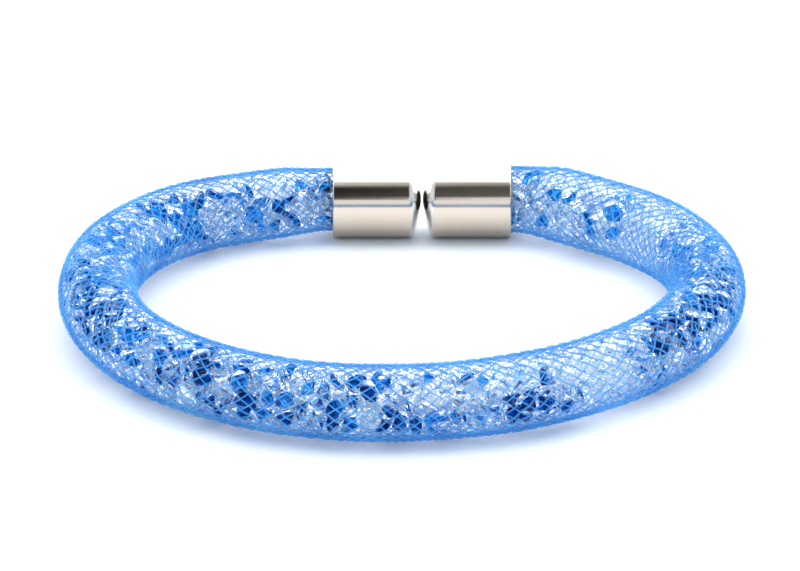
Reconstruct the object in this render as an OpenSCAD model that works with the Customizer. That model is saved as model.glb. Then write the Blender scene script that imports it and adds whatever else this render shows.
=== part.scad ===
// Closed bracelet: a soft net tube filled with cut crystals and joined by a two-part round clasp.
// It lies flat on the XY plane with +Z up, the clasp at the back (+Y) and its axis along X.
// The origin is on the resting plane, under the middle of the bracelet's outline.

/* [Loop] */
// Radius of the round bow, from its centre to the middle of the tube
bow_r = 31.2; // [28:0.1:36]
// Bend radius of the tube where it turns tightest, beside the right end of the clasp
shoulder_r = 10; // [8:0.5:13]
// Distance from the middle of the bow to the middle of the clasp, to the right
clasp_shift = 2.4; // [0:0.1:4]

/* [Net tube] */
// Outer diameter of the net tube round the bow, full of stones
tube_d = 8.1; // [7.5:0.1:10]
// How much slimmer the tube is in the two bends beside the clasp
shoulder_drop = 0.2; // [0.1:0.05:0.4]
// Outer diameter of the tube's ends, drawn in to fit the clasp
neck_d = 7.4; // [6:0.1:7.6]
// Thickness of the net, two crossed strands
net_t = 0.4; // [0.3:0.05:0.8]
// Length over which the tube narrows, outside each end of the clasp
taper_l = 1; // [0.5:0.1:3]
// Length of each end that is held inside the clasp
plug_l = 4.4; // [2:0.1:5]
// Length by which one stretch of the tube is worked into the next
lap_l = 0.2; // [0.1:0.05:0.5]

/* [Crystals] */
// Diameter of a stone across its girdle
stone_d = 2.8; // [1.6:0.1:3.1]
// Diameter of a stone's flat table
table_d = 1.6; // [0.8:0.1:1.8]
// Height of the crown, from the girdle to the table
crown_h = 0.45; // [0.2:0.05:0.8]
// Depth of the pavilion, from the girdle to the point
pavilion_h = 1.2; // [0.8:0.1:1.6]
// Facets round each stone
stone_sides = 8; // [8:1:10]
// Stones in one ring round the inside of the tube
ring_stones = 5; // [3:1:5]
// Spacing of the rings along the middle of the tube
ring_pitch = 3.5; // [3.4:0.1:6]
// Space between the stones and the net
stone_gap = 0.12; // [0.1:0.02:0.4]

/* [Clasp] */
// Outer diameter of the clasp
clasp_d = 8.4; // [8.2:0.1:10]
// Length of the closed clasp
clasp_l = 19.5; // [15:0.5:26]
// Height of the domed mating ends, from rim to middle
dome_h = 1.05; // [0.5:0.05:2]
// Radius of the rounded edge between each dome and the clasp's side
rim_r = 0.6; // [0.2:0.1:1.5]
// Space between the two closed halves at the middle of their domes
seam_gap = 0.1; // [0.1:0.05:0.5]
// Radius of the rounded edge round each mouth
mouth_edge_r = 0.2; // [0.05:0.05:0.3]
// Space all round each tube end in its socket
socket_gap = 0.1; // [0.05:0.05:0.2]
// Space between each tube end and the floor of its socket
floor_gap = 0.2; // [0.1:0.05:0.5]

/* [Hidden] */
$fn = 96;

tube_r = tube_d / 2;
shoulder_d = tube_d - shoulder_drop;
clasp_r = clasp_d / 2;
socket_r = neck_d / 2 + socket_gap;
socket_l = plug_l + floor_gap;
half_l = (clasp_l - seam_gap) / 2;
dome_r = (clasp_r * clasp_r + dome_h * dome_h) / (2 * dome_h);
// The rounded edge touches the dome at radius rim_x and the clasp's side at height rim_z.
rim_x = (clasp_r - rim_r) * dome_r / (dome_r - rim_r);
rim_z = dome_r - sqrt(pow(dome_r - rim_r, 2) - pow(clasp_r - rim_r, 2));
axis_z = max(tube_r, clasp_r);

// Seen from above, with the bow's centre at (0, 0), a straight line runs through the clasp at
// y = line_y, from x = -left_x to x = right_x, and a bend of the tube rounds each of its ends
// into the bow without a corner.
right_x = clasp_l / 2 + taper_l + clasp_shift;
left_x = clasp_l / 2 + taper_l - clasp_shift;
line_y = shoulder_r + sqrt(pow(bow_r - shoulder_r, 2) - pow(right_x, 2));
left_shoulder_r = (pow(bow_r, 2) - pow(left_x, 2) - pow(line_y, 2)) / (2 * (bow_r - line_y));
right_turn = atan2(line_y - shoulder_r, right_x);
left_turn = atan2(line_y - left_shoulder_r, -left_x);

// The three bends from the right end of the clasp round to the left one:
// centre, radius, first and last angle about that centre, outer diameter of the tube.
BENDS = [
    [[right_x, line_y - shoulder_r], shoulder_r, 90, right_turn, shoulder_d],
    [[0, 0], bow_r, right_turn, left_turn - 360, tube_d],
    [[-left_x, line_y - left_shoulder_r], left_shoulder_r, left_turn, 90, shoulder_d]
];
// Places in a row of BENDS
CENTRE = 0;
RADIUS = 1;
FIRST = 2;
LAST = 3;
WIDTH = 4;

function bend_length(b) = b[RADIUS] * (b[FIRST] - b[LAST]) * PI / 180;
right_l = bend_length(BENDS[0]);
bow_l = bend_length(BENDS[1]);
left_l = bend_length(BENDS[2]);

// The outline is centred over the origin from front to back.
centre_y = (bow_r + tube_r - line_y - clasp_r) / 2;

// Stones stand with their tables outward, as near the net as the table's or the girdle's
// corners allow.
stone_space_r = shoulder_d / 2 - net_t - stone_gap;
girdle_seat = min(
    sqrt(pow(stone_space_r, 2) - pow(table_d / 2, 2)) - crown_h,
    sqrt(pow(stone_space_r, 2) - pow(stone_d / 2, 2))
);
end_margin = stone_d / 2 + lap_l + stone_gap;
stone_run = right_l + bow_l + left_l - 2 * end_margin;
ring_count = floor(stone_run / ring_pitch) + 1;
ring_start = end_margin + (stone_run - (ring_count - 1) * ring_pitch) / 2;

// Tints of the stones: mostly clear, some mid blue, some dark blue
TINTS = ["aliceblue", "aliceblue", "aliceblue", "cornflowerblue", "midnightblue"];
TINT_SEED = 7;
stone_tints = rands(0, len(TINTS) - 0.001, ring_count * ring_stones, TINT_SEED);

// Moves children from the loop's own plane to their place above the resting plane.
module on_loop() {
    translate([0, centre_y, axis_z]) children();
}

// One bend of the hollow tube, longer at each end by the angle lap.
module bend(b, lap) {
    translate([b[CENTRE].x, b[CENTRE].y, 0])
        rotate([0, 0, b[LAST] - lap])
            rotate_extrude(angle = b[FIRST] - b[LAST] + 2 * lap)
                translate([b[RADIUS], 0])
                    difference() {
                        circle(d = b[WIDTH]);
                        circle(d = b[WIDTH] - 2 * net_t);
                    }
}

// The drawn-in end of the tube on the +X side of the origin, where it leaves its bend.
// It starts narrower than the bend, so that it is worked into it.
module tube_end() {
    start_r = shoulder_d / 2 - net_t / 2;
    rotate([0, 90, 0])
        rotate_extrude()
            polygon([
                [start_r, -lap_l],
                [start_r, 0],
                [neck_d / 2, taper_l],
                [neck_d / 2, taper_l + plug_l],
                [neck_d / 2 - net_t, taper_l + plug_l],
                [neck_d / 2 - net_t, taper_l],
                [start_r - net_t, 0],
                [start_r - net_t, -lap_l]
            ]);
}

module net_sleeve() {
    color("cornflowerblue")
        on_loop() {
            bend(BENDS[0], 0);
            bend(BENDS[1], lap_l / bow_r * 180 / PI);
            bend(BENDS[2], 0);
            translate([-left_x, line_y, 0]) tube_end();
            translate([right_x, line_y, 0]) mirror([1, 0, 0]) tube_end();
        }
}

// A cut stone, girdle at the origin, table up, point down.
module stone() {
    n = stone_sides;
    ring = [for (i = [0 : n - 1]) [cos(i * 360 / n), sin(i * 360 / n)]];
    polyhedron(
        points = concat(
            [for (p = ring) [p.x * stone_d / 2, p.y * stone_d / 2, 0]],
            [for (p = ring) [p.x * table_d / 2, p.y * table_d / 2, crown_h]],
            [[0, 0, -pavilion_h]]
        ),
        faces = concat(
            [[for (i = [n - 1 : -1 : 0]) n + i]],
            [for (i = [0 : n - 1]) [i, n + i, n + (i + 1) % n, (i + 1) % n]],
            [for (i = [0 : n - 1]) [2 * n, i, (i + 1) % n]]
        )
    );
}

// Moves children to the given distance along the tube, counted from the right end of the clasp,
// with +X pointing out of the loop and +Z up.
module along_tube(s) {
    b = s < right_l ? BENDS[0] : s < right_l + bow_l ? BENDS[1] : BENDS[2];
    before = s < right_l ? 0 : s < right_l + bow_l ? right_l : right_l + bow_l;
    translate([b[CENTRE].x, b[CENTRE].y, 0])
        rotate([0, 0, b[FIRST] - (s - before) / b[RADIUS] * 180 / PI])
            translate([b[RADIUS], 0, 0])
                children();
}

module crystals() {
    on_loop()
        for (ring = [0 : ring_count - 1])
            along_tube(ring_start + ring * ring_pitch)
                for (k = [0 : ring_stones - 1])
                    color(TINTS[floor(stone_tints[ring * ring_stones + k])])
                        rotate([0, (k + ring % 2 / 2) * 360 / ring_stones, 0])
                            translate([0, 0, girdle_seat])
                                stone();
}

// One half of the clasp on the Z axis, its dome touching the origin and its mouth up.
module clasp_half() {
    rotate_extrude()
        difference() {
            union() {
                intersection() {
                    translate([0, dome_r]) circle(dome_r);
                    square([rim_x, rim_z]);
                }
                translate([clasp_r - rim_r, rim_z]) circle(rim_r);
                translate([0, rim_z]) square([clasp_r, half_l - rim_z - mouth_edge_r]);
                translate([0, rim_z]) square([clasp_r - mouth_edge_r, half_l - rim_z]);
                translate([clasp_r - mouth_edge_r, half_l - mouth_edge_r]) circle(mouth_edge_r);
            }
            translate([0, half_l - socket_l]) square([socket_r, 2 * socket_l]);
        }
}

module clasp_half_left() {
    color("silver")
        on_loop()
            translate([clasp_shift - seam_gap / 2, line_y, 0])
                rotate([0, -90, 0])
                    clasp_half();
}

module clasp_half_right() {
    color("silver")
        on_loop()
            translate([clasp_shift + seam_gap / 2, line_y, 0])
                rotate([0, 90, 0])
                    clasp_half();
}

net_sleeve();
crystals();
clasp_half_left();
clasp_half_right();
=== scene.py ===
"""Closed bracelet: a soft blue net tube full of cut stones, joined by a round two-part clasp."""
import math

import bpy
import numpy as np
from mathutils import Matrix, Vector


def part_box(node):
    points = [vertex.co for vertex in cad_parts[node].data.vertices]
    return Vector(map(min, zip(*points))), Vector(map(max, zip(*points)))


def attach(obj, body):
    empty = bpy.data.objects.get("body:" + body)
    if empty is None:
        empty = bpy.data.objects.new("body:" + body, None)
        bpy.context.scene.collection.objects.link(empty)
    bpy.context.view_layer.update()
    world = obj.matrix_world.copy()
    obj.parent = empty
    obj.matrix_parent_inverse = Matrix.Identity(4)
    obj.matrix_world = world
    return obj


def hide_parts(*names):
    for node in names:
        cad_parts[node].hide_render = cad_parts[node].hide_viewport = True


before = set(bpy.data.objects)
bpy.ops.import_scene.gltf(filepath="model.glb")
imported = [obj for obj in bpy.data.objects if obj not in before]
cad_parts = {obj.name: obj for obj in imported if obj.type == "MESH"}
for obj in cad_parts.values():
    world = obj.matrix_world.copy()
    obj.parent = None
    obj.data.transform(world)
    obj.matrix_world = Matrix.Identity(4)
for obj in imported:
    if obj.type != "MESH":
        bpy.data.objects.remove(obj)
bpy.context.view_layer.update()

MM = 0.001
BODY = "root"

# Sizes of the loop, in millimetres, from the solids
sleeve_low, sleeve_high = (np.array(c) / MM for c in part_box("net_sleeve"))
left_low, left_high = (np.array(c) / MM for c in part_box("clasp_half_left"))
right_high = np.array(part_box("clasp_half_right")[1]) / MM
tube_r = (sleeve_high[2] - sleeve_low[2]) / 2
bow_r = (sleeve_high[0] - sleeve_low[0]) / 2 - tube_r
bow_y = sleeve_low[1] + tube_r + bow_r
clasp_x = (left_low[0] + right_high[0]) / 2
clasp_half_l = (right_high[0] - left_low[0]) / 2
line_y = (left_low[1] + left_high[1]) / 2 - bow_y
axis_z = (left_low[2] + left_high[2]) / 2

# Sizes that the solids' boxes don't give, as in the part: radius of the tight bend beside the
# clasp, length of the tube's taper and of each end that the clasp holds
SHOULDER_R = 10
TAPER_L = 1
PLUG_L = 4.4

# The soft tube isn't quite round, neither its loop nor its thickness. In each row, a wave
# round the loop: how many to a turn, how far it goes, and the direction of its first crest.
LOOP_WAVES = [(1, 0.83, -101), (2, 0.35, 2), (3, 0.50, 33), (4, 0.09, 30)]
WIDTH_WAVES = [(1, 0.08, 90), (2, 0.13, 23), (3, 0.08, 133)]
# Radius of the tube round the bow, before its waves, and where it enters the clasp
MIDDLE_R = 4.01
NECK_RIGHT_R = 3.76
NECK_LEFT_R = 3.55
# Distances from the clasp over which the tube takes its own way and its own width
SWAY_FADE = 12
NECK_FADE = 5
# Steps of the tube's middle line in each straight end and in each bend
STRAIGHT_STEPS = 20
BEND_STEPS = 600

# The net: strands each way, length of one turn, half the width and height of a strand, and how
# far it goes over and under the others
STRANDS = 20
LEAD = 29.5
STRAND_HALF_W = 0.073
STRAND_HALF_H = 0.13
WEAVE_H = 0.095
# Sides of a strand, distance along the tube between two of its crossings, and steps in between
STRAND_SIDES = 5
CROSSING = LEAD / (2 * STRANDS)
STEPS_A_CROSSING = 3
# Small waves pull the net out of its even pattern. In each row: how far they go at most, their
# least and greatest length along the tube, and the most that there are round it.
NET_WAVES = [(0.05, 12, 30, 2), (0.012, 3.5, 7, 5)]
WAVES_A_ROW = 7
# The least share of its row's pull that a wave has, the share of a pull that goes outward, and
# the distance from the tube's ends over which the waves set in
LEAST_PULL = 0.4
LIFT_SHARE = 0.25
PULL_FADE = 2 * PLUG_L
NET_SEED = 3

# The stones: how many, and their least and greatest radius before they are fitted together
STONES = 1000
STONE_R = (1.02, 1.43)
# Their cut: facets round a stone, and in shares of its radius how far the corners of the table,
# the crown and the pavilion reach out, how far the table lies above and the tip below the middle
# of the girdle, and half the girdle's thickness
STONE_SIDES = 8
TABLE_SHARE = 0.56
STAR_SHARE = 0.8
KEEL_SHARE = 0.3
CROWN_SHARE = 0.32
PAVILION_SHARE = 0.82
GIRDLE_SHARE = 0.03
# Space kept for the net inside the tube, and between two stones
NET_ROOM = 0.46
STONE_GAP = 0.05
# Where the stones start: how far they stay from the middle of each held end, and how far from
# the tube's middle line they lie
END_ROOM = 1
START_REACH = 2.6
# The packing: its rounds, and pushes off the net in each
SHAKES = 420
NET_PUSHES = 2
# How many stones on, and how far along the tube, each one is compared with
NEIGHBOURS = 44
NEAR_L = 4.6
# Shares of each overlap that push two stones apart, turn them, and turn one that the net presses
PUSH_SHARE = 1.4
TURN_SHARE = 0.15
PRESS_SHARE = 0.12
# An axis with more than this share along X counts as lying along X
MOSTLY_X = 0.8
# Least distance that is divided by
TINY = 1e-6
# Seeds of the stones' places, of their kinds and of their facets' tones
STONE_SEED = 11
KIND_SEED = 12
FACET_SEED = 5

# The camera, as in the photograph of 800 by 571 pixels: its lens, how far it is from the point
# that it looks at, and how many degrees above it
PICTURE_W = 800
PICTURE_H = 571
CAMERA_LENS = 194.85
SENSOR_W = 36
CLIP_START = 10
CAMERA_DISTANCE = 450
CAMERA_ELEVATION = 20.5
TARGET = np.array([0, 2.03, 4.1])
camera_tilt = math.radians(CAMERA_ELEVATION)
to_camera = np.array([0, -math.cos(camera_tilt), math.sin(camera_tilt)])
camera_up = np.array([0, math.sin(camera_tilt), math.cos(camera_tilt)])

# Numbers of the kinds of stones, and the kinds that the tube's outer stones have
CLEAR, MID_BLUE, DARK_BLUE, CORE = range(4)
OUTER_KINDS = (CLEAR, MID_BLUE, DARK_BLUE)
# A stone this near the tube's middle line is one of the core
CORE_R = 1.2
# A stone this far in front of the tube's middle shows in the picture
NEAR_SIDE = 0.4
# Shares of the outer kinds among stones that don't show, and in the two kinds of patches below
HIDDEN_SHARES = (0.84, 0.13, 0.03)
MID_SHARES = (0.22, 0.74, 0.04)
DARK_SHARES = (0.02, 0.1, 0.88)
# Share of mid blue stones among those that show outside the patches. The rest are clear.
STRAY_SHARE = 0.05
# Where the dark and the mid blue stones lie in the picture, as charted: x, y and reach of
# each patch in its pixels. A patch tints stones up to half a stone's width further out.
PATCH_MARGIN = 10
DARK_PATCHES = [
    (199, 368, 13), (204, 401, 8), (236, 404, 9), (285, 400, 6), (298, 417, 9), (233, 353, 5),
    (243, 361, 5), (298, 368, 6), (329, 381, 6), (352, 374, 7), (378, 378, 9), (336, 415, 4),
    (353, 433, 8), (400, 420, 9), (396, 431, 6), (513, 418, 15), (570, 405, 9), (460, 412, 5),
    (469, 372, 6), (178, 376, 8), (687, 325, 9), (671, 332, 7), (655, 316, 4), (110, 312, 8),
    (85, 319, 6), (72, 289, 6), (80, 275, 8), (78, 302, 7), (92, 335, 7), (150, 322, 6),
    (728, 275, 5), (710, 285, 6), (727, 300, 8), (712, 312, 6), (196, 192, 2), (210, 192, 2),
    (167, 206, 1), (284, 218, 2),
]
MID_PATCHES = [
    (245, 191, 8), (282, 216, 6), (197, 233, 2), (605, 224, 12), (468, 428, 10), (75, 285, 14),
    (334, 431, 8), (686, 334, 8), (169, 360, 12), (561, 410, 7), (89, 333, 7), (721, 274, 7),
    (652, 347, 7), (636, 207, 3), (303, 184, 3), (90, 265, 20), (134, 262, 10), (130, 300, 7),
    (715, 260, 14), (700, 300, 12), (674, 262, 6), (272, 400, 20), (215, 372, 16), (220, 404, 14),
    (365, 388, 8), (545, 395, 8), (205, 190, 6), (176, 248, 8), (120, 235, 8), (150, 340, 10),
    (130, 350, 8), (262, 372, 8), (312, 402, 10), (430, 425, 8), (234, 194, 8), (252, 204, 3),
    (330, 200, 4), (330, 218, 3), (166, 214, 3), (186, 206, 2), (512, 222, 2),
]

# Cut glass. Tones of the stones' facets, picked at random: the share of the facets that come before
# each, and its colour. The palest tones of the blue stones are painted glints. The navy facets of
# the clear stones are painted dark reflections, and their peach and cyan facets are painted
# coloured sparkles. Then the sockets of each kind's shader, by name.
CLEAR_TONES_AND_SPARKLES = [
    (0, (0.95, 0.98, 1)),
    (0.58, (0.82, 0.91, 1)),
    (0.88, (0.38, 0.66, 1)),
    # Painted dark reflections, then painted peach and cyan sparkles
    (0.935, (0.02, 0.11, 0.42)),
    (0.97, (1, 0.86, 0.74)),
    (0.985, (0.72, 1, 0.98)),
]
MID_TONES_AND_GLINTS = [
    # The palest tone is painted glints
    (0, (0.5, 0.8, 1)),
    (0.14, (0.05, 0.44, 0.96)),
    (0.58, (0, 0.2, 0.66)),
    (0.84, (0, 0.05, 0.3)),
]
DARK_TONES_AND_GLINTS = [
    # The palest tone is painted glints
    (0, (0.4, 0.74, 1)),
    (0.05, (0, 0.27, 0.82)),
    (0.26, (0, 0.085, 0.42)),
    (0.54, (0, 0.022, 0.16)),
]
CORE_TONES = [
    (0, (0.86, 0.94, 1)),
    (0.7, (0.66, 0.83, 1)),
]
BLUE_GLEAM = (0.25, 0.55, 1, 1)
CLEAR_GLASS = {"Transmission Weight": 0.86, "IOR": 1.45, "Specular IOR Level": 0.5}
MID_GLASS = {
    "Transmission Weight": 0.88,
    "IOR": 1.42,
    "Specular IOR Level": 0.2,
    "Specular Tint": BLUE_GLEAM,
}
DARK_GLASS = {
    "Transmission Weight": 0.8,
    "IOR": 1.33,
    "Specular IOR Level": 0.08,
    "Specular Tint": BLUE_GLEAM,
}
CORE_GLASS = {"Transmission Weight": 0.1, "IOR": 1.5, "Specular IOR Level": 0.5}
FACET_ROUGHNESS = {"To Min": 0.015, "To Max": 0.05}

# The net's nylon: its shader, its noise, and its tones with where each is pure
NYLON = {"Roughness": 0.28, "IOR": 1.53, "Specular IOR Level": 0.3, "Alpha": 0.48}
NYLON_NOISE = {"Scale": 260, "Detail": 3}
NYLON_TONES = [
    (0.3, (0.05, 0.35, 0.88)),
    (0.72, (0.15, 0.56, 1)),
]

# The clasp's metal: its noise and roughness, its colour, and the colour and length of the
# painted light at the domed ends where its halves meet, a paler colour that lifts the dark
# they mirror in each other, with the length over which it fades
METAL_NOISE = {"Scale": 420, "Detail": 5}
METAL_ROUGHNESS = {"To Min": 0.11, "To Max": 0.15}
METAL_COLOUR = (0.69, 0.585, 0.48, 1)
PAINTED_LIGHT_COLOUR = (0.93, 0.91, 0.88, 1)
PAINTED_LIGHT_L = 1.0
PAINTED_LIGHT_FADE = 0.3

# The stage: half the floor's width, the floor's shader, and the pale surroundings
FLOOR_HALF_W = 900
FLOOR = {"Base Color": (0.85, 0.89, 0.94, 1), "Roughness": 1, "Specular IOR Level": 0}
SURROUNDINGS = {"Color": (0.8, 0.9, 1, 1), "Strength": 1.005}
# Lights: name, width, depth, power in watts, colour, place, and how many degrees each one is
# turned from facing down towards the front
LIGHTS = [
    ("softbox", 1600, 900, 8.4, (1, 0.92, 0.82), (0, 260, 700), 0),
    ("back_panel", 1600, 500, 3.2, (1, 1, 1), (0, 600, 320), 90),
]
# Cards behind the camera that the two halves of the clasp mirror, dark below and paler towards
# their tops: name, left and right edge, bottom, start of the fade, top and dark shade
CARD_DISTANCE = 480
CARDS = [
    ("left_card", -180, 6, 160, 680, 1150, 0),
    ("right_card", 6, 180, 235, 760, 1900, 0.09),
]
# The lit card behind and below them: half its width, its bottom and top, and its glow
LIT_CARD_DISTANCE = 490
LIT_CARD_HALF_W = 180
LIT_CARD_BOTTOM = 45
LIT_CARD_TOP = 300
LIT_CARD = {
    "Base Color": (0, 0, 0, 1),
    "Emission Color": (0.84, 0.91, 1, 1),
    "Emission Strength": 1.32,
}


def smooth(t):
    """An even rise from 0 to 1."""
    t = np.clip(t, 0, 1)
    return t * t * (3 - 2 * t)


def unit(vectors):
    """The same vectors, each with length 1."""
    return vectors / np.linalg.norm(vectors, axis=-1, keepdims=True)


def along_three(start, values, one, two, three):
    """Points that lie the given values along three directions from a start."""
    return start + values[..., :1] * one + values[..., 1:2] * two + values[..., 2:] * three


def waves(rows, angle):
    """The sum of the given waves at each angle round the loop."""
    total = np.zeros_like(angle)
    for count, amount, crest in rows:
        total += amount * np.cos(count * angle - math.radians(crest))
    return total


def in_picture(points):
    """Where points in the part's own millimetres show in the picture, in its pixels."""
    ray = points - (TARGET + CAMERA_DISTANCE * to_camera)
    scale = PICTURE_W * CAMERA_LENS / SENSOR_W / -(ray @ to_camera)
    x = PICTURE_W / 2 + ray[..., 0] * scale
    y = PICTURE_H / 2 - (ray @ camera_up) * scale
    return np.stack([x, y], -1)


def new_object(name, points, faces):
    """A mesh object in metres from points in millimetres and a list of faces."""
    mesh = bpy.data.meshes.new(name)
    mesh.from_pydata((points * MM).tolist(), [], faces)
    mesh.update()
    made = bpy.data.objects.new(name, mesh)
    bpy.context.scene.collection.objects.link(made)
    return made


# The tube

def even_line():
    """The tube's middle line as in the part, seen from above, with the bow's centre at (0, 0)."""
    right_x = clasp_x + clasp_half_l + TAPER_L
    left_x = clasp_half_l + TAPER_L - clasp_x
    left_r = (bow_r**2 - left_x**2 - line_y**2) / (2 * (bow_r - line_y))
    right_turn = math.atan2(line_y - SHOULDER_R, right_x)
    left_turn = math.atan2(line_y - left_r, -left_x)
    bends = [
        ((right_x, line_y - SHOULDER_R), SHOULDER_R, math.pi / 2, right_turn),
        ((0, 0), bow_r, right_turn, left_turn - 2 * math.pi),
        ((-left_x, line_y - left_r), left_r, left_turn, math.pi / 2),
    ]
    inside = TAPER_L + PLUG_L
    points = []
    for t in np.linspace(0, 1, STRAIGHT_STEPS, endpoint=False):
        points.append((right_x - inside * (1 - t), line_y))
    for (x, y), r, first, last in bends:
        for a in np.linspace(first, last, BEND_STEPS, endpoint=False):
            points.append((x + r * math.cos(a), y + r * math.sin(a)))
    for t in np.linspace(0, 1, STRAIGHT_STEPS):
        points.append((-left_x + inside * t, line_y))
    return np.array(points)


def run_along(line):
    """The distance of each point of a line from its start, along the line."""
    steps = np.linalg.norm(np.diff(line, axis=0), axis=1)
    return np.concatenate([[0], np.cumsum(steps)])


class Loop:
    """The tube's middle line, from the right end of the clasp round the bow to the left end."""

    def __init__(self):
        line = even_line()
        angle = np.arctan2(line[:, 1], line[:, 0])
        along = unit(np.gradient(line, axis=0))
        outward = np.column_stack([-along[:, 1], along[:, 0]])
        run = run_along(line)
        from_clasp = np.minimum(run - PLUG_L, run[-1] - PLUG_L - run)
        own_way = smooth(from_clasp / SWAY_FADE)
        own_width = smooth((from_clasp - TAPER_L) / NECK_FADE)

        sway = waves(LOOP_WAVES, angle) * own_way
        line = line + outward * sway[:, None] + [0, bow_y]
        self.run = run_along(line)
        self.length = self.run[-1]

        own_r = MIDDLE_R + waves(WIDTH_WAVES, angle)
        neck_r = np.where(angle < math.pi / 2, NECK_RIGHT_R, NECK_LEFT_R)
        # The front half of the loop, where the angles are below 0, has no neck.
        neck_r = np.where(angle < 0, own_r, neck_r)
        self.radius = neck_r + (own_r - neck_r) * own_width

        middle_z = axis_z + (self.radius - axis_z) * own_way
        self.line = np.column_stack([line, middle_z])
        self.along = unit(np.gradient(self.line, axis=0))
        turn = np.unwrap(np.arctan2(self.along[:, 1], self.along[:, 0]))
        self.bend = -np.gradient(turn, self.run)

    def at(self, values, s):
        """Values of the line, such as its points, at the distances s along it."""
        if values.ndim == 1:
            return np.interp(s, self.run, values)
        return np.stack([np.interp(s, self.run, column) for column in values.T], -1)

    def frame(self, s):
        """The middle of the tube, and its directions along, outward and up, at the distances s."""
        middle = self.at(self.line, s)
        along = unit(self.at(self.along, s))
        outward = unit(np.stack([-along[:, 1], along[:, 0], np.zeros(len(s))], -1))
        return middle, along, outward, np.cross(outward, along)


# The net

def net_waves():
    """Seeded waves of the net: how far each goes, its rate along the tube, its count round it,
    and its phases along, round and outward."""
    rng = np.random.default_rng(NET_SEED)
    rows = []
    for most_pull, least_l, most_l, most_around in NET_WAVES:
        for _ in range(WAVES_A_ROW):
            rate = 2 * math.pi / rng.uniform(least_l, most_l)
            amount = most_pull * rng.uniform(LEAST_PULL, 1)
            around = rng.integers(0, most_around + 1)
            rows.append((amount, rate, around, rng.uniform(0, 2 * math.pi, 3)))
    return rows


def pull(rows, s, phi):
    """How far the net is pulled along, round and outward at the distances s and angles phi."""
    total = np.zeros((3, len(s)))
    for amount, rate, around, phases in rows:
        for k, phase in enumerate(phases):
            total[k] += amount * np.sin(rate * s + around * phi + phase)
    along, round_it, outward = total
    return along, round_it, outward * LIFT_SHARE


def strand_line(loop, start, hand, rows, s):
    """The middle line of a strand, and its directions away from the tube's middle. It starts the
    given share of a turn round the tube."""
    phi = 2 * math.pi * (start + hand * s / LEAD)
    along, round_it, lift = pull(rows, s, phi)
    fade = smooth(np.minimum(s, loop.length - s) / PULL_FADE)
    at = np.clip(s + along * fade, 0, loop.length)
    radius = loop.at(loop.radius, at)
    angle = phi + round_it * fade / radius
    weave = WEAVE_H * hand * np.cos(math.pi * s / CROSSING)
    reach = radius - STRAND_HALF_H - WEAVE_H + weave + lift * fade
    middle, _, outward, up = loop.frame(at)
    away = outward * np.cos(angle)[:, None] + up * np.sin(angle)[:, None]
    return middle + away * reach[:, None], away


def strand_points(line, away):
    """Corners of a strand with an oval section, ring after ring along its line."""
    along = unit(np.gradient(line, axis=0))
    side = unit(np.cross(along, away))
    top = np.cross(side, along)
    turn = np.arange(STRAND_SIDES) * 2 * math.pi / STRAND_SIDES
    height = STRAND_HALF_H * np.cos(turn)[None, :, None] * top[:, None]
    width = STRAND_HALF_W * np.sin(turn)[None, :, None] * side[:, None]
    return (line[:, None] + (height + width)).reshape(-1, 3)


def strand_faces(base, steps):
    """Faces of a strand whose corners are numbered from base: its sides, then its two ends."""
    ring = np.arange(STRAND_SIDES)
    starts = base + np.arange(steps)[:, None] * STRAND_SIDES
    a = starts + ring
    b = starts + (ring + 1) % STRAND_SIDES
    sides = np.stack([a, b, b + STRAND_SIDES, a + STRAND_SIDES], -1).reshape(-1, 4)
    first_end = base + ring[::-1]
    last_end = base + steps * STRAND_SIDES + ring
    return sides.tolist() + [first_end.tolist(), last_end.tolist()]


def net_family(name, loop, hand, rows, material):
    """The strands that turn one way round the tube, woven over and under the other family."""
    steps = int(loop.length / CROSSING) * STEPS_A_CROSSING
    s = np.linspace(0, loop.length, steps + 1)
    points, faces = [], []
    for i in range(STRANDS):
        points.append(strand_points(*strand_line(loop, i / STRANDS, hand, rows, s)))
        faces += strand_faces(i * len(s) * STRAND_SIDES, steps)
    made = new_object(name, np.concatenate(points), faces)
    # A side of a strand has four corners, and an end has one for each side.
    for polygon in made.data.polygons:
        polygon.use_smooth = polygon.loop_total < STRAND_SIDES
    made.data.materials.append(material)
    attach(made, BODY)
    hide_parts("net_sleeve")


def make_net(loop):
    """The two families of strands, pulled about by the same waves."""
    nylon = strand_material()
    rows = net_waves()
    net_family("net_right_hand", loop, 1, rows, nylon)
    net_family("net_left_hand", loop, -1, rows, nylon)


# The stones

def stone_rings():
    """Rings of corners of a stone of radius 1, from its table down: half turns, reach and height."""
    slant = math.cos(math.pi / STONE_SIDES)
    crown_slope = (CROWN_SHARE - GIRDLE_SHARE) / (1 - TABLE_SHARE)
    star_z = CROWN_SHARE - (STAR_SHARE * slant - TABLE_SHARE) * crown_slope
    keel_z = KEEL_SHARE * slant * (PAVILION_SHARE - GIRDLE_SHARE) - PAVILION_SHARE
    return [
        (0, TABLE_SHARE, CROWN_SHARE),
        (1, STAR_SHARE, star_z),
        (0, 1, GIRDLE_SHARE),
        (1, 1, GIRDLE_SHARE),
        (0, 1, -GIRDLE_SHARE),
        (1, 1, -GIRDLE_SHARE),
        (1, KEEL_SHARE, keel_z),
    ]


def stone_points(size):
    """Corners of cut stones of the given radii, girdle at the origin, table along +Z."""
    points = []
    for half_turns, reach, height in stone_rings():
        for k in range(STONE_SIDES):
            angle = (2 * k + half_turns) * math.pi / STONE_SIDES
            points.append([reach * math.cos(angle), reach * math.sin(angle), height])
    points.append([0, 0, -PAVILION_SHARE])
    return np.array(points)[None] * size[:, None, None]


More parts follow.
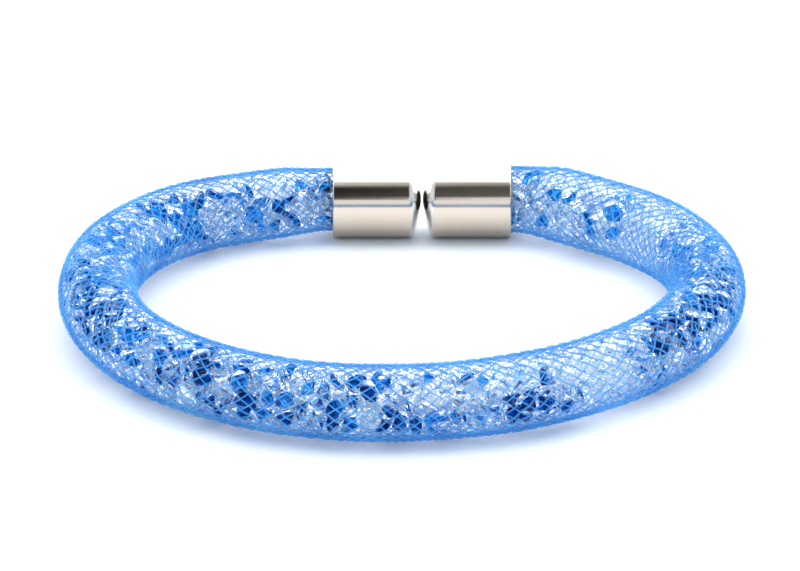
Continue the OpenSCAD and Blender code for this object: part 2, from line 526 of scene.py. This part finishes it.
def stone_faces():
    """Faces of one cut stone: table, crown, girdle and pavilion facets."""
    n = STONE_SIDES
    table, star, upper, upper_half, lower, lower_half, keel, tip = (k * n for k in range(8))
    faces = [[table + k for k in range(n)]]
    for k in range(n):
        m = (k + 1) % n
        faces += [
            [table + k, star + k, table + m],
            [table + m, star + k, upper + m, star + m],
            [star + k, upper + k, upper_half + k],
            [star + k, upper_half + k, upper + m],
            [upper + k, lower + k, lower_half + k, upper_half + k],
            [upper_half + k, lower_half + k, lower + m, upper + m],
            [lower_half + k, lower + k, keel + k],
            [lower_half + k, keel + k, lower + m],
            [lower + m, keel + k, tip, keel + m],
        ]
    return faces


def turned(axis):
    """Two directions square to each axis."""
    helper = np.where(np.abs(axis[:, :1]) < MOSTLY_X, [[1.0, 0, 0]], [[0, 1.0, 0]])
    one = unit(np.cross(axis, helper))
    return one, np.cross(axis, one)


def stone_corners(place, axis, size):
    """Corners of the stones in the tube's own directions."""
    one, two = turned(axis)
    return along_three(place[:, None], stone_points(size), one[:, None], two[:, None], axis[:, None])


def support(direction, axis, size):
    """How far stones reach in a direction, and how far that direction is towards their tables."""
    t = (direction * axis).sum(1)
    flat = np.sqrt(np.maximum(1 - t * t, 0))
    far = -PAVILION_SHARE * t
    for _, reach, height in stone_rings():
        far = np.maximum(far, reach * flat + height * t)
    return size * far, t


def near_pairs(place):
    """Numbers of the stones that lie near each other along the tube, from stones in their order."""
    first, step = np.meshgrid(np.arange(STONES), np.arange(1, NEIGHBOURS + 1), indexing="ij")
    second = first + step
    kept = second < STONES
    i, j = first[kept], second[kept]
    close = place[j, 0] - place[i, 0] < NEAR_L
    return i[close], j[close]


def meet(gap, i, j, axis, size):
    """Ways between pairs of stones, their distances and reaches, and how far their tables face along."""
    distance = np.maximum(np.linalg.norm(gap, axis=1), TINY)
    way = gap / distance[:, None]
    reach_i, tilt_i = support(way, axis[i], size[i])
    reach_j, tilt_j = support(-way, axis[j], size[j])
    return way, distance, reach_i + reach_j, tilt_i, tilt_j


def push_apart(loop, place, axis, size):
    """Moves and turns stones that overlap away from each other."""
    i, j = near_pairs(place)
    gap = place[j] - place[i]
    # Stones on the outside of a bend are further apart than along the tube's middle line.
    bend = loop.at(loop.bend, place[:, 0])
    gap[:, 0] *= 1 + (place[i, 1] + place[j, 1]) / 2 * (bend[i] + bend[j]) / 2
    way, distance, reach, tilt_i, tilt_j = meet(gap, i, j, axis, size)
    overlap = np.maximum(reach + STONE_GAP - distance, 0)
    push = np.zeros_like(place)
    count = np.zeros(STONES)
    spin = np.zeros_like(axis)
    move = way * (overlap / 2)[:, None]
    for stones, side, tilt in ((i, -1, tilt_i), (j, 1, tilt_j)):
        np.add.at(push, stones, side * move)
        np.add.at(count, stones, overlap > 0)
        np.add.at(spin, stones, -side * way * (overlap * np.where(tilt >= 0, 1, -1))[:, None])
    place = place + push / np.maximum(count, 1)[:, None] * PUSH_SHARE
    return place, unit(axis + spin * TURN_SHARE)


def push_inside(loop, place, axis, size):
    """Moves and turns stones whose corners reach into the net towards the middle of the tube."""
    room = loop.at(loop.radius, place[:, 0]) - NET_ROOM
    rows = np.arange(STONES)
    corners = stone_corners(place, axis, size)
    out = np.hypot(corners[..., 1], corners[..., 2])
    worst = out.argmax(1)
    over = np.maximum(out[rows, worst] - room, 0)
    corner = corners[rows, worst]
    way = corner[:, 1:] / np.maximum(out[rows, worst], TINY)[:, None]
    place[:, 1:] -= way * over[:, None]
    pressed = np.column_stack([np.zeros(STONES), -way]) * over[:, None]
    spin = np.cross(np.cross(corner - place, pressed), axis)
    return place, unit(axis + spin * PRESS_SHARE)


def in_order(place, axis, size):
    """The same stones in their order along the tube."""
    order = np.argsort(place[:, 0], kind="stable")
    return place[order], axis[order], size[order]


def fitted_sizes(loop, place, axis, size):
    """Radii of the stones, less what they still overlap where they lie in space."""
    middle, along, outward, up = loop.frame(place[:, 0])
    centre = along_three(middle, place * [0, 1, 1], along, outward, up)
    true_axis = along_three(0, axis, along, outward, up)
    i, j = near_pairs(place)
    _, distance, reach, _, _ = meet(centre[j] - centre[i], i, j, true_axis, size)
    room = np.minimum(distance / (reach + STONE_GAP), 1)
    least = np.ones(STONES)
    np.minimum.at(least, i, room)
    np.minimum.at(least, j, room)
    return size * least


def pack_stones(loop):
    """Shakes the stones down in the tube. Returns places along, outward and up, axes and radii."""
    rng = np.random.default_rng(STONE_SEED)
    size = rng.uniform(*STONE_R, STONES)
    first = PLUG_L / 2 + END_ROOM
    last = loop.length - first
    s = np.sort(rng.uniform(first, last, STONES))
    reach = np.sqrt(rng.uniform(0, 1, STONES)) * START_REACH
    turn = rng.uniform(0, 2 * math.pi, STONES)
    place = np.column_stack([s, reach * np.cos(turn), reach * np.sin(turn)])
    axis = unit(rng.normal(size=(STONES, 3)))
    for _ in range(SHAKES):
        place, axis, size = in_order(place, axis, size)
        place, axis = push_apart(loop, place, axis, size)
        for _ in range(NET_PUSHES):
            place, axis = push_inside(loop, place, axis, size)
        place[:, 0] = np.clip(place[:, 0], first, last)
    place, axis, size = in_order(place, axis, size)
    return place, axis, fitted_sizes(loop, place, axis, size)


def stone_kinds(loop, centre, place):
    """The number of each stone's kind."""
    rng = np.random.default_rng(KIND_SEED)
    kind = rng.choice(OUTER_KINDS, STONES, p=HIDDEN_SHARES)
    seen = in_picture(centre)
    near = (centre - loop.at(loop.line, place[:, 0])) @ to_camera > NEAR_SIDE
    kind[near] = np.where(rng.uniform(size=near.sum()) < STRAY_SHARE, MID_BLUE, CLEAR)
    for patches, shares in ((MID_PATCHES, MID_SHARES), (DARK_PATCHES, DARK_SHARES)):
        for x, y, reach in patches:
            apart = np.hypot(seen[:, 0] - x, seen[:, 1] - y)
            inside = near & (apart < reach + PATCH_MARGIN)
            kind[inside] = rng.choice(OUTER_KINDS, inside.sum(), p=shares)
    kind[np.hypot(place[:, 1], place[:, 2]) < CORE_R] = CORE
    return kind


def stone_piece(name, points, material, rng):
    """Stones of one kind as one piece, with a random tone for each facet."""
    corners = points.shape[1]
    one_stone = stone_faces()
    faces = []
    for n in range(len(points)):
        faces += [[n * corners + v for v in face] for face in one_stone]
    made = new_object(name, points.reshape(-1, 3), faces)
    tones = made.data.attributes.new("facet_tone", "FLOAT", "FACE")
    tones.data.foreach_set("value", rng.uniform(size=len(faces)))
    made.data.materials.append(material)
    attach(made, BODY)
    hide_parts("crystals")
    return made


def make_stones(loop):
    """The stones as one piece for each kind. Only the blue ones shade the floor."""
    place, axis, size = pack_stones(loop)
    middle, along, outward, up = loop.frame(place[:, 0])
    offset = stone_corners(place, axis, size) - place[:, None] * [1, 0, 0]
    points = along_three(middle[:, None], offset, along[:, None], outward[:, None], up[:, None])
    kind = stone_kinds(loop, points.mean(1), place)
    rng = np.random.default_rng(FACET_SEED)
    for number, name, tones, glass, shaded in (
        (CLEAR, "clear", CLEAR_TONES_AND_SPARKLES, CLEAR_GLASS, False),
        (MID_BLUE, "mid_blue", MID_TONES_AND_GLINTS, MID_GLASS, True),
        (DARK_BLUE, "dark_blue", DARK_TONES_AND_GLINTS, DARK_GLASS, True),
        (CORE, "core", CORE_TONES, CORE_GLASS, False),
    ):
        material = glass_material(name + "_glass", tones, glass)
        made = stone_piece("stones_" + name, points[kind == number], material, rng)
        made.visible_shadow = shaded


# Materials

def fill(node, sockets):
    """Gives a node's sockets, by name or number, a value or the output of another node."""
    links = node.id_data.links
    for socket, given in sockets.items():
        if isinstance(given, bpy.types.NodeSocket):
            links.new(given, node.inputs[socket])
        else:
            node.inputs[socket].default_value = given


def new_material(name, sockets):
    """A material with nodes, its nodes, and its Principled shader with the given sockets."""
    material = bpy.data.materials.new(name)
    material.use_nodes = True
    nodes = material.node_tree.nodes
    shader = nodes["Principled BSDF"]
    fill(shader, sockets)
    return material, nodes, shader


def object_place(nodes):
    """Where a point of the surface lies, in the frame that all pieces share."""
    return nodes.new("ShaderNodeTexCoord").outputs["Object"]


def noise(nodes, place, sockets):
    """Fine noise over the surface."""
    made = nodes.new("ShaderNodeTexNoise")
    fill(made, {"Vector": place, **sockets})
    return made.outputs["Fac"]


def mapped(nodes, value, sockets):
    """A value brought from one range to another."""
    made = nodes.new("ShaderNodeMapRange")
    fill(made, {"Value": value, **sockets})
    return made.outputs["Result"]


def toned(nodes, value, tones, blend):
    """A value's colour. Each row of tones is the value where it begins, and the colour."""
    made = nodes.new("ShaderNodeValToRGB")
    ramp = made.color_ramp
    ramp.interpolation = blend
    while len(ramp.elements) < len(tones):
        ramp.elements.new(1)
    for stop, (begin, colour) in zip(ramp.elements, tones):
        stop.position = begin
        stop.color = (*colour, 1)
    fill(made, {"Fac": value})
    return made.outputs["Color"]


def strand_material():
    """Clear blue nylon, a little uneven in its dye."""
    material, nodes, shader = new_material("blue_nylon", NYLON)
    dye = noise(nodes, object_place(nodes), NYLON_NOISE)
    fill(shader, {"Base Color": toned(nodes, dye, NYLON_TONES, "LINEAR")})
    return material


def glass_material(name, tones, glass):
    """Cut glass, each facet with its own tone and polish; some tones are painted glints and reflections.
    """
    material, nodes, shader = new_material(name, glass)
    facet = nodes.new("ShaderNodeAttribute")
    facet.attribute_name = "facet_tone"
    tone = facet.outputs["Fac"]
    fill(shader, {
        "Base Color": toned(nodes, tone, tones, "CONSTANT"),
        "Roughness": mapped(nodes, tone, FACET_ROUGHNESS),
    })
    return material


def metal_material():
    """Polished metal, with painted light at the domed ends where the two halves of the clasp meet."""
    material, nodes, shader = new_material("polished_silver", {"Metallic": 1})
    place = object_place(nodes)
    polish = noise(nodes, place, METAL_NOISE)
    apart = nodes.new("ShaderNodeSeparateXYZ")
    fill(apart, {"Vector": place})
    from_seam = nodes.new("ShaderNodeMath")
    from_seam.operation = "SUBTRACT"
    fill(from_seam, {0: apart.outputs["X"], 1: clasp_x * MM})
    distance = nodes.new("ShaderNodeMath")
    distance.operation = "ABSOLUTE"
    fill(distance, {0: from_seam.outputs["Value"]})
    # A paler colour near the seam is painted light over the dark that the facing domes mirror in each
    # other.
    beyond_painted_light = mapped(nodes, distance.outputs["Value"], {
        "From Min": PAINTED_LIGHT_L * MM,
        "From Max": (PAINTED_LIGHT_L + PAINTED_LIGHT_FADE) * MM,
    })
    tint = nodes.new("ShaderNodeMix")
    tint.data_type = "RGBA"
    fill(tint, {"Factor": beyond_painted_light, "A": PAINTED_LIGHT_COLOUR, "B": METAL_COLOUR})
    fill(shader, {
        "Base Color": tint.outputs["Result"],
        "Roughness": mapped(nodes, polish, METAL_ROUGHNESS),
    })
    return material


# The clasp

def polish_clasp():
    """Gives the clasp's own solids their metal."""
    silver = metal_material()
    for half in ("clasp_half_left", "clasp_half_right"):
        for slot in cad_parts[half].material_slots:
            slot.material = silver


# The stage

def rectangle(name, corners, sockets):
    """A flat piece of the stage. Returns it with its material's nodes and shader."""
    made = new_object(name, np.array(corners, float), [[0, 1, 2, 3]])
    material, nodes, shader = new_material(name + "_paper", sockets)
    made.data.materials.append(material)
    return made, nodes, shader


def card(name, distance, sides, ends, sockets):
    """An upright card that only mirrors show. Returns its material's nodes and shader."""
    (left, right), (bottom, top) = sides, ends
    y = -distance
    corners = [[left, y, bottom], [right, y, bottom], [right, y, top], [left, y, top]]
    made, nodes, shader = rectangle(name, corners, {"Specular IOR Level": 0, **sockets})
    made.visible_camera = False
    made.visible_diffuse = False
    made.visible_shadow = False
    made.visible_transmission = False
    return nodes, shader


def make_cards():
    """The dark cards, each paler towards its top, and the lit one."""
    for name, left, right, bottom, fade, top, shade in CARDS:
        nodes, shader = card(name, CARD_DISTANCE, (left, right), (bottom, top), {})
        apart = nodes.new("ShaderNodeSeparateXYZ")
        fill(apart, {"Vector": object_place(nodes)})
        tone = mapped(nodes, apart.outputs["Z"], {
            "From Min": fade * MM,
            "From Max": top * MM,
            "To Min": shade,
        })
        fill(shader, {"Base Color": tone})
    sides = (-LIT_CARD_HALF_W, LIT_CARD_HALF_W)
    card("lit_card", LIT_CARD_DISTANCE, sides, (LIT_CARD_BOTTOM, LIT_CARD_TOP), LIT_CARD)


def make_light(name, width, depth, power, colour, place, turn):
    """A soft light panel that faces down, or is turned towards the front."""
    light = bpy.data.lights.new(name, "AREA")
    light.shape = "RECTANGLE"
    light.size = width * MM
    light.size_y = depth * MM
    light.energy = power
    light.color = colour
    lamp = bpy.data.objects.new(name, light)
    lamp.location = [c * MM for c in place]
    lamp.rotation_euler = (math.radians(-turn), 0, 0)
    bpy.context.scene.collection.objects.link(lamp)


def make_camera():
    """The camera, where the photograph was taken from."""
    camera = bpy.data.cameras.new("camera")
    camera.sensor_width = SENSOR_W
    camera.lens = CAMERA_LENS
    camera.clip_start = CLIP_START * MM
    viewer = bpy.data.objects.new("camera", camera)
    viewer.location = (TARGET + CAMERA_DISTANCE * to_camera) * MM
    viewer.rotation_euler = (math.pi / 2 - camera_tilt, 0, 0)
    bpy.context.scene.collection.objects.link(viewer)
    bpy.context.scene.camera = viewer


def set_stage():
    """Floor, surroundings, lights, cards and camera."""
    scene = bpy.context.scene
    scene.view_settings.view_transform = "Standard"
    far = FLOOR_HALF_W
    rectangle("floor", [[-far, -far, 0], [far, -far, 0], [far, far, 0], [-far, far, 0]], FLOOR)
    world = bpy.data.worlds.new("white_room")
    world.use_nodes = True
    scene.world = world
    fill(world.node_tree.nodes["Background"], SURROUNDINGS)
    for row in LIGHTS:
        make_light(*row)
    make_cards()
    make_camera()


loop = Loop()
set_stage()
make_net(loop)
make_stones(loop)
polish_clasp()
